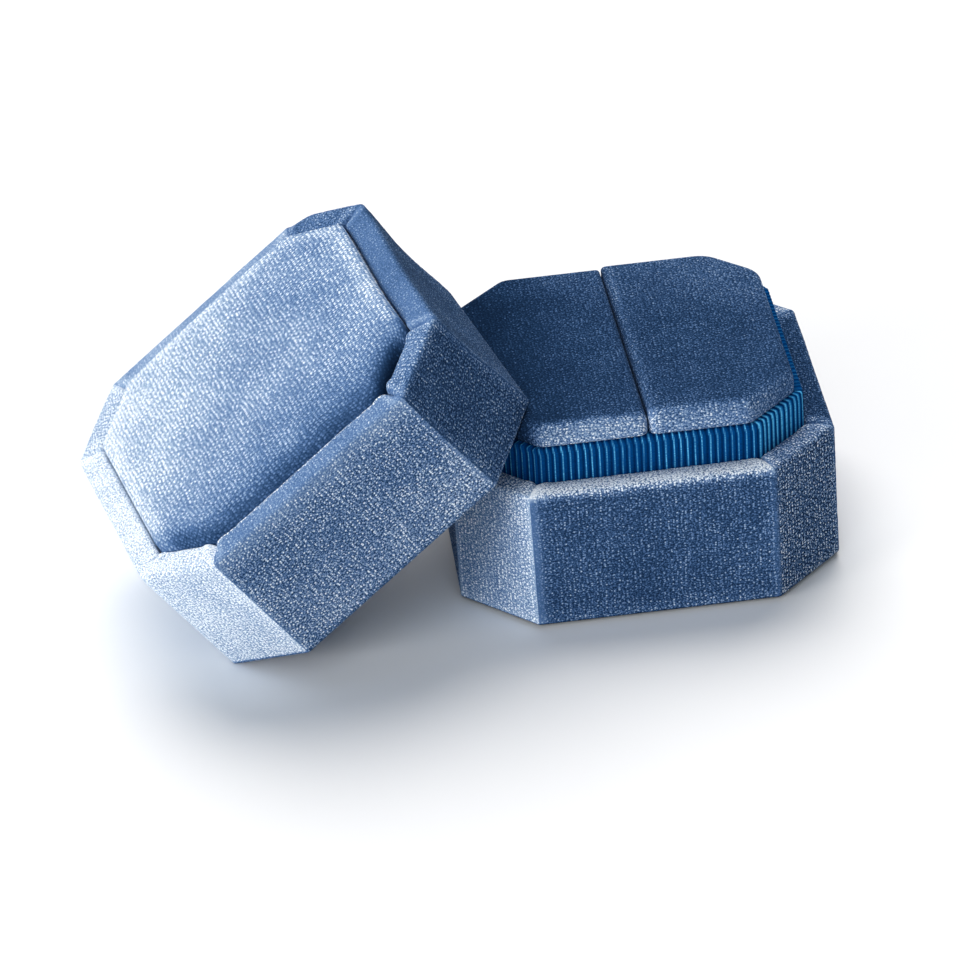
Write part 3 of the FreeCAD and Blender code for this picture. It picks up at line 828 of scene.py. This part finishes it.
def make_lid_wrap():
    """The lid's velvet: out of the mouth, up the wall, over the border and down to the deck."""
    outline = CASING
    inner = 0.6
    mouth_in = HALF - lid_box("lid_lining_wall")[1][0] + VELVET
    back_in = HALF - SHELL_HALF
    turn_top = lid_box("lid_lining_wall")[0][2]
    wall_in = RIM_INSET - VELVET
    rows = [(mouth_in, turn_top, INNER_CORNER)]
    rows += line_rows((mouth_in, turn_top), (mouth_in, EDGE_ROUND), 8, INNER_CORNER)
    rows += arc_rows((mouth_in - EDGE_ROUND, EDGE_ROUND), EDGE_ROUND, 0, -90, 6, 1.0)[1:]
    rows += line_rows((mouth_in - EDGE_ROUND, 0), (EDGE_ROUND, 0), 4, CORNER_ROUND)
    rows += arc_rows((EDGE_ROUND, EDGE_ROUND), EDGE_ROUND, 270, 180, 6, CORNER_ROUND)[1:]
    wall_start = len(rows)
    rows += line_rows((0, EDGE_ROUND), (0, LID_TOP - EDGE_ROUND), WALL_ROWS, CORNER_ROUND)
    border_start = len(rows)
    rows += rim_rows(LID_TOP, inner)
    border_end = len(rows)
    rows += line_rows((RIM_INSET, LID_TOP - inner), (RIM_INSET, DECK), 4, INNER_CORNER)
    rows += [(wall_in, DECK, INNER_CORNER), (wall_in, LID_TOP - VELVET, INNER_CORNER),
             (back_in, LID_TOP - VELVET, BACK_CORNER), (back_in, VELVET, BACK_CORNER),
             (mouth_in - VELVET, VELVET, INNER_CORNER), (mouth_in - VELVET, turn_top, INNER_CORNER)]

    def shape(points, side, along, inset, row):
        moved = points.copy()
        if wall_start <= row < border_end:
            moved[:, :2] += outline.normals[side] * uneven(points, 11)[:, None]
        if border_start <= row < border_end:
            gap = from_mitre(outline, side, along, inset)
            weight = float(step_up(inset, 0.6, RIM_INSET * 0.85))
            strong = by_side(side, rest=1.0, FRONT_RIGHT=1.7)
            fold = 0.9 * bell(gap, 1.3, 0.8) - 1.6 * bell(gap, 0, 0.34)
            tuck = strong * TUCKS[side] * weight * fold
            middle = np.cos(np.clip(along / outline.lengths[side], -0.5, 0.5) * HALF_TURN)
            roll = np.where(side % 2 == 1, 0.22, 0.08) * strong * middle
            moved[:, 2] += tuck + roll * bell(inset, RIM_INSET * 0.5, RIM_INSET * 0.4)
            moved[:, 2] += 0.06 * wander(points, 5.0, 13) + 0.05 * wander(points, 0.8, 14)
        flare = LID_FLARE * step_up(points[:, 0], 8, 28.5) * (1 - step_up(points[:, 2], 0, 17))
        if row < border_start:
            moved[:, 0] += flare * (1 - float(step_up(inset, 0.5, mouth_in)))
        return skew_lid(moved) if row >= wall_start else moved

    def tone(points, side, along, inset, row):
        gap = from_mitre(outline, side, along, inset)
        height = points[:, 2]
        # The painted light and shade of the wall, side by side, with painted highlights at the
        # mitres and paler towards its top and its mouth, and of the border, which takes over at the
        # edge.
        wall = by_side(side, rest=0.35, FRONT=0.34, FRONT_LEFT=0.77, FRONT_RIGHT=0.185, RIGHT=0.15,
                       LEFT=0.8, BACK_LEFT=0.5)
        wall = wall + 0.07 * bell(gap, 0.7, 0.4)
        wall = wall + np.where(side == FRONT, 0.12, 0) * step_up(height, LID_TOP - 5, LID_TOP)
        wall = wall + np.where(side == FRONT, 0.08, 0.02) * step_up(LID_TOP - height, 8, 22)
        border = by_side(side, rest=0.5, RIGHT=0.29, FRONT_RIGHT=0.36, FRONT=0.36, FRONT_LEFT=0.88,
                         LEFT=0.95, BACK_LEFT=0.70, BACK=0.48, BACK_RIGHT=0.27)
        border = border + 0.14 * bell(gap, 1.0, 0.6)
        # A painted highlight along the front border's inner edge, where the tufts also show more.
        inner_edge_highlight = np.where(side == FRONT, bell(inset, RIM_INSET - 0.35, 0.3), 0)
        climb = height - LID_TOP + inset + 0.4 * wander(points, 0.7, 16)
        climb = climb if row < border_end else np.full(len(points), 9.0)
        over = step_up(climb, -1.8, 1.2)
        smooth = step_up(climb, by_side(side, rest=-1.8, FRONT=-4.5), 0.8)
        # How far the tufts and their painted glints show, side by side.
        calm = by_side(side, rest=0.6, RIGHT=0.3, FRONT=0.4, BACK=0.35)
        rough = by_side(side, rest=0.9, FRONT_LEFT=0.6, LEFT=0.6)
        grit_and_shine = (1 - 0.4 * bell(gap, 0, 0.5)) * (rough + (calm - rough) * smooth) + inner_edge_highlight
        border = border + 0.45 * inner_edge_highlight
        if row < wall_start:
            wall, over = np.full(len(points), 0.3), 0.0
        return wall + (border - wall) * over + 0.03 * wander(points, 6.0, 15), grit_and_shine

    skin = sweep(outline, rows, shape, tone)
    make_piece("lid_velvet", skin, lid_velvet, "lid", "lid_velvet_wrap", lid=True)


# -------- the ribbon

def make_ribbon():
    """Grosgrain round the collar: rounded crosswise ribs, rolled over its top."""
    half = RIBBON_HIGH[0]
    outline = Outline(octagon(half, CORNER_CUT - CUT_LOSS * RIM_INSET), (296, 84), 10)
    top, foot = RIBBON_HIGH[2], RIBBON_LOW[2]
    thick = half - COLLAR_HIGH[0]
    lip = 0.28
    over = 2.1
    corner = 1.9
    rows = [(0, foot, corner)]
    rows += line_rows((0, foot), (0, RIM - 0.8), 2, corner)
    rows += line_rows((0, RIM - 0.8), (0, top - lip), 9, corner)
    rows += arc_rows((lip, top - lip), lip, 180, 90, 5, corner)[1:]
    rows += [(over / 2, top, corner - 0.5), (over, top, 1.0), (over, COLLAR_HIGH[2] + 0.03, 1.0),
             (thick, COLLAR_HIGH[2] + 0.03, corner - thick), (thick, foot, corner - thick)]
    ribs = round(outline.run[-1] / RIB_PITCH)
    pitch = outline.run[-1] / ribs

    def crest(side, along, height, ahead=0.0):
        around = outline.run[side] + along
        hook = 0.2 * float(step_up(height, top - 1.2, top)) + 0.02 * (top - height)
        wobble = 0.07 * np.sin(around * 0.9) + 0.05 * np.sin(around * 2.3 + 1)
        return 0.5 + 0.5 * np.cos(2 * HALF_TURN * ((around + hook) / pitch + wobble + ahead))

    def shape(points, side, along, inset, row):
        if row >= len(rows) - 4:
            return points
        moved = points.copy()
        rise = crest(side, along, points[0, 2]) ** 0.6 * RIB_HEIGHT
        moved[:, :2] += outline.normals[side] * (rise - RIB_HEIGHT * 0.6)[:, None]
        moved[:, 2] += rise * float(step_up(points[0, 2], top - lip, top)) * 0.8
        return moved

    def tone(points, side, along, inset, row):
        height = points[0, 2]
        # Painted highlights, side by side: paler crests and a narrow painted shine line on each
        # rib, strongest on the front right.
        glow = by_side(side, rest=0.5, FRONT=1.1, FRONT_RIGHT=1.6, FRONT_LEFT=1.2, RIGHT=0.25)
        crest_highlight = by_side(side, rest=0.7, FRONT_RIGHT=1.6)
        glow = glow * (0.85 + 0.35 * np.sin(5.3 * (outline.run[side] + along)))
        narrow = by_side(side, rest=36, FRONT_RIGHT=14)
        return crest(side, along, height) * crest_highlight, crest(side, along, height, 0.16) ** narrow * glow

    skin = sweep(outline, rows, shape, tone)
    make_piece("ribbon_grosgrain", skin, grosgrain, "box_base", "collar_ribbon")


# -------- pads and cushions

def panel_outline(node):
    """A padded panel's outline, evenly inside the casing's."""
    half = lid_box(node)[1][0]
    return Outline(octagon(half, CORNER_CUT - CUT_LOSS * (HALF - half)), (24, 8), 3)


def make_top_panel():
    """The lid's padded top: it swells over its border, and rolls down in front."""
    outline = panel_outline("lid_panel_velvet")
    every = np.arange(len(SIDES))
    rolls = by_side(every, rest=0.9, FRONT=4.2, FRONT_LEFT=3.0, FRONT_RIGHT=3.4)
    lap = by_side(every, rest=0.0, RIGHT=0.65, BACK_RIGHT=0.6, BACK=0.3, LEFT=0.3)
    crown, spring = LID_TOP + PANEL_CROWN, LID_TOP - PANEL_DROP
    rows = []
    for angle in np.radians(np.linspace(82, 0, 11)):
        height = spring + (crown - spring) * math.sin(angle)
        out = lap * float(step_up(height, LID_TOP - 0.1, LID_TOP + 0.5))
        rows.append((rolls * (1 - math.cos(angle)) - out, height, 2.0))
    rows += [(np.zeros(8), DECK + 0.8, 1.6), (np.full(8, 0.2), DECK, 1.4)]

    def tone(points):
        x, y = points[:, 0], points[:, 1]
        half = outline.reach[0]
        # Painted light and shade: paler to the left and the back, a painted highlight along the
        # rear edges, and painted shade in front, where the panel rolls down, and in its front
        # corners.
        sheen_and_shade = 0.45 + 0.055 * step_up(-x, -4, half) + 0.22 * step_up(y - x, 0, 30)
        sheen_and_shade = sheen_and_shade - 0.13 * step_up(-y, 4, half) * (1 - 0.3 * step_up(-x, 8, half))
        edges = outline.reach - points[:, :2] @ outline.normals.T
        front = np.min(edges[:, FRONT_LEFT:], axis=1)
        rear = np.min(edges[:, :FRONT_LEFT], axis=1)
        sheen_and_shade = sheen_and_shade + 0.16 * bell(rear, 1.3, 1.2) - 0.15 * bell(front, 0.5, 2.6)
        sheen_and_shade = sheen_and_shade - 0.16 * bell(edges[:, FRONT_RIGHT], 0.2, 1.5)
        sheen_and_shade = sheen_and_shade - 0.08 * bell(edges[:, FRONT_LEFT], 0.5, 1.8)
        grit_and_shine = 0.58 - 0.2 * bell(front, 0, 3.0)
        return sheen_and_shade + 0.04 * wander(points, 7.0, 21), grit_and_shine

    skin = pad_skin(outline, rows, tone)
    puff_up(skin, skin.points[:, 2] < LID_TOP - 1.0, 0.3)
    skin.points = skew_lid(skin.points)
    piece = make_piece("lid_panel", skin, panel_velvet, "lid",
                       "lid_panel_velvet", lid=True)
    smooth_out(piece, 2)


def make_ceiling_pad():
    """The pad inside the lid, over its lining card, crowned towards the mouth."""
    outline = panel_outline("lid_lining_velvet")
    low, high = lid_box("lid_lining_velvet")
    roll = 1.6
    rows = [(np.full(8, roll * (1 - math.cos(angle))), low[2] + roll * (1 - math.sin(angle)), 1.4)
            for angle in np.radians(np.linspace(85, 0, 7))]
    rows += [(np.zeros(8), high[2] - 0.3, 1.2), (np.full(8, 0.2), high[2], 1.0)]
    skin = pad_skin(outline, rows, lambda points: (0.3 + 0.04 * wander(points, 7.0, 25), 0.9))
    puff_up(skin, skin.points[:, 2] > low[2] + 1.2, 0.8)
    piece = make_piece("lid_ceiling_pad", skin, lining_velvet, "lid",
                       "lid_lining_velvet", lid=True)
    smooth_out(piece, 2)


def press_by_lid(points, room):
    """Move points that are inside the leaning lid back out through its mouth."""
    local = (points - LID_ORIGIN) @ LID_ROTATION
    inside = (np.abs(local[:, :2]).max(1) < HALF + LID_FLARE + room) & (local[:, 2] > -room)
    local[inside, 2] = -room
    return np.where(inside[:, None], local @ LID_ROTATION.T + LID_ORIGIN, points)


def make_cushion(name, side):
    """One cushion: velvet over foam, overhanging the collar, its slot side slightly askew."""
    low, high = spread(node_points("right_cushion_velvet"))
    far, crown = high[1], high[2]
    near = far - CORNER_CUT + CUT_LOSS * (HALF - far)
    corners = [(far, -near), (far, near), (near, far), (SLOT_LIP_GAP - SLOT_SKEW, far),
               (SLOT_LIP_GAP + SLOT_SKEW, -far), (near, -far)]
    corners = [(side * x, side * y) for x, y in corners]
    outline = Outline(corners, (18, 6, 24, 30, 24, 6), 3)
    slot = 3
    front, front_corner = (4, 5) if side > 0 else (2, 1)
    # The right cushion's outer side stands further in, and its back corner is rounder;
    # the left one is pressed a little lower by the lid.
    drawn_in = 0.5 if side > 0 else 0.0
    back_round = 4.6 if side > 0 else CUSHION_CORNER
    crown = crown if side > 0 else crown - PRESSED
    shoulders = np.array([1.3, 1.5, 1.6, SLOT_LIP, 1.6, 1.5])
    shoulders[front] = SHOULDER
    shoulders[front_corner] = 1.9

    def row(depth, inset=0.0, radius=CUSHION_CORNER):
        left_over = np.clip(shoulders - depth, 0, None)
        insets = inset + shoulders - np.sqrt(shoulders ** 2 - left_over ** 2)
        insets[slot] -= inset
        insets[0] += drawn_in
        insets[front] -= FRONT_OUT
        radii = np.full(6, float(radius))
        radii[slot], radii[slot + 1] = (0.35, 1.4) if side > 0 else (1.4, 0.35)
        radii[1] = radii[2] = back_round * radius / CUSHION_CORNER
        return insets, crown - depth, radii

    under = crown - RIBBON_HIGH[2] - 0.05
    rows = [row(SHOULDER * (1 - math.sin(angle))) for angle in np.radians(np.linspace(88, 0, 9))]
    rows += [row(under - 0.5), row(under - 0.1, 0.15, 2.0)]
    rows += [row(under, 0.5, 1.8), row(under, 1.4, 1.6)]
    rows += [row(depth, 1.4, 1.6) for depth in np.linspace(under + 2, crown - low[2], 5)]

    def tone(points):
        x, y = points[:, 0], points[:, 1]
        edges = outline.reach - points[:, :2] @ outline.normals.T
        edge = np.minimum(edges[:, front], edges[:, front_corner])
        rear = np.min(np.delete(edges, (slot, front, front_corner), axis=1), axis=1)
        # The front face's band, painted light, cut off at the left where the lid's painted shadow
        # falls.
        face = step_up(0.4 * wander(points, 0.8, 33) - edge, -2.2, 0.0) * step_up(x, -18, -14.5)
        # Painted light and shade: darker to the left in the lid's painted shadow, paler to the
        # back, a painted highlight along the rear edges, the painted light band on the front face,
        # and on the right cushion a painted highlight along the slot lip.
        sheen_and_shade = 0.045 + 0.095 * step_up(x, -24, -2) + 0.080 * step_up(y + 0.5 * x, 4, 32)
        sheen_and_shade = sheen_and_shade + 0.10 * bell(rear, 0.2, 0.7) * step_up(y, -6, 12)
        sheen_and_shade = sheen_and_shade + face * (0.38 - 0.15 * step_up(x, -1, 4) - 0.12 * step_up(x, 11, 22))
        sheen_and_shade = sheen_and_shade + 0.06 * bell(x + SLOT_SKEW * y / far, 0.9, 0.8) * (1 if side > 0 else 0)
        return sheen_and_shade + 0.02 * wander(points, 6.0, 31), 0.78 - 0.1 * face

    skin = pad_skin(outline, rows, tone)
    puff_up(skin, skin.points[:, 2] < crown - 2.4, 0.25)
    if side < 0:
        skin.points = press_by_lid(skin.points, 0.1)
    node = ("left" if side < 0 else "right") + "_cushion_velvet"
    piece = make_piece(name, skin, cushion_velvet, "box_base", node)
    smooth_out(piece, 2)


# -------- light, floor and camera

def add_sun(name, towards, strength, angle, colour):
    """A sun in a direction, its disc so many degrees wide."""
    lamp = bpy.data.lights.new(name, "SUN")
    lamp.energy = strength
    lamp.angle = math.radians(angle)
    lamp.color = colour
    holder = add_object(name, lamp)
    holder.rotation_mode = "QUATERNION"
    holder.rotation_quaternion = Vector(towards).normalized().to_track_quat("Z", "Y")


def seen_directly(tree):
    """One where a camera, glossy or transmission ray looks, and zero for light rays."""
    path = tree.nodes.new("ShaderNodeLightPath")
    total = path.outputs["Is Camera Ray"]
    for name in ("Is Glossy Ray", "Is Transmission Ray"):
        add = tree.nodes.new("ShaderNodeMath")
        add.operation = "MAXIMUM"
        tree.links.new(total, add.inputs[0])
        tree.links.new(path.outputs[name], add.inputs[1])
        total = add.outputs[0]
    return total


def light_scene():
    """Soft studio lamps, as suns with wide discs."""
    add_sun("key_left", (-0.895, -0.425, 0.14), strength=2.33, angle=24, colour=(1.0, 0.99, 0.985))
    add_sun("fill_front", (-0.2, -0.86, 0.65), strength=0.97, angle=60, colour=(0.91, 1.0, 1.08))
    add_sun("top_back", (0.0, 0.61, 0.79), strength=3.3, angle=56, colour=(1.0, 0.975, 0.95))
    bpy.context.scene.view_settings.view_transform = "Standard"


def make_world():
    """An even bluish light on the object, and white where the world itself is seen."""
    world = bpy.data.worlds.new("studio")
    bpy.context.scene.world = world
    world.use_nodes = True
    tree = world.node_tree
    background = tree.nodes["Background"]
    blend = tree.nodes.new("ShaderNodeMapRange")
    tree.links.new(seen_directly(tree), blend.inputs[0])
    blend.inputs[3].default_value = WORLD_LIGHT
    blend.inputs[4].default_value = 1.0
    tree.links.new(blend.outputs[0], background.inputs["Strength"])
    tint = tree.nodes.new("ShaderNodeMix")
    tint.data_type = "RGBA"
    tint.inputs[6].default_value = WORLD_TINT
    tint.inputs[7].default_value = (1, 1, 1, 1)
    tree.links.new(seen_directly(tree), tint.inputs["Factor"])
    tree.links.new(tint.outputs[2], background.inputs["Color"])


def make_floor():
    """A white matt floor that keeps the shadows."""
    mesh = bpy.data.meshes.new("floor")
    corners = [(-1, -1), (1, -1), (1, 1), (-1, 1)]
    points = [(x * FLOOR_REACH, y * FLOOR_REACH, 0) for x, y in corners]
    mesh.from_pydata(points, [], [(0, 1, 2, 3)])
    floor = add_object("floor", mesh)
    nodes = Nodes("floor_white")
    place = nodes.add("TexCoord").outputs["Object"]
    grain = nodes.noise(place, 40, 2.0)
    nodes.set(base_color=nodes.mix(grain, (0.92, 0.92, 0.925), (0.94, 0.94, 0.94)), roughness=0.9)
    nodes.set(specular_ior_level=0.0)
    mesh.materials.append(nodes.material)


def place_camera():
    """The camera, at the photograph's view."""
    data = bpy.data.cameras.new("photo_camera")
    data.lens = CAMERA_LENS
    data.clip_start, data.clip_end = 0.05, 20
    camera = add_object("photo_camera", data)
    flat = math.cos(CAMERA_DROP)
    look = Vector((math.sin(CAMERA_AZIMUTH) * flat, math.cos(CAMERA_AZIMUTH) * flat,
                   -math.sin(CAMERA_DROP)))
    camera.rotation_mode = "QUATERNION"
    camera.rotation_quaternion = look.to_track_quat("-Z", "Y") @ Quaternion((0, 0, 1), CAMERA_ROLL)
    camera.location = Vector(CAMERA_PLACE) * MM
    bpy.context.scene.camera = camera


def main():
    dress_frame()
    make_base_wrap()
    make_lid_wrap()
    make_ribbon()
    make_top_panel()
    make_ceiling_pad()
    make_cushion("cushion_left", -1)
    make_cushion("cushion_right", 1)
    light_scene()
    make_world()
    make_floor()
    place_camera()


main()
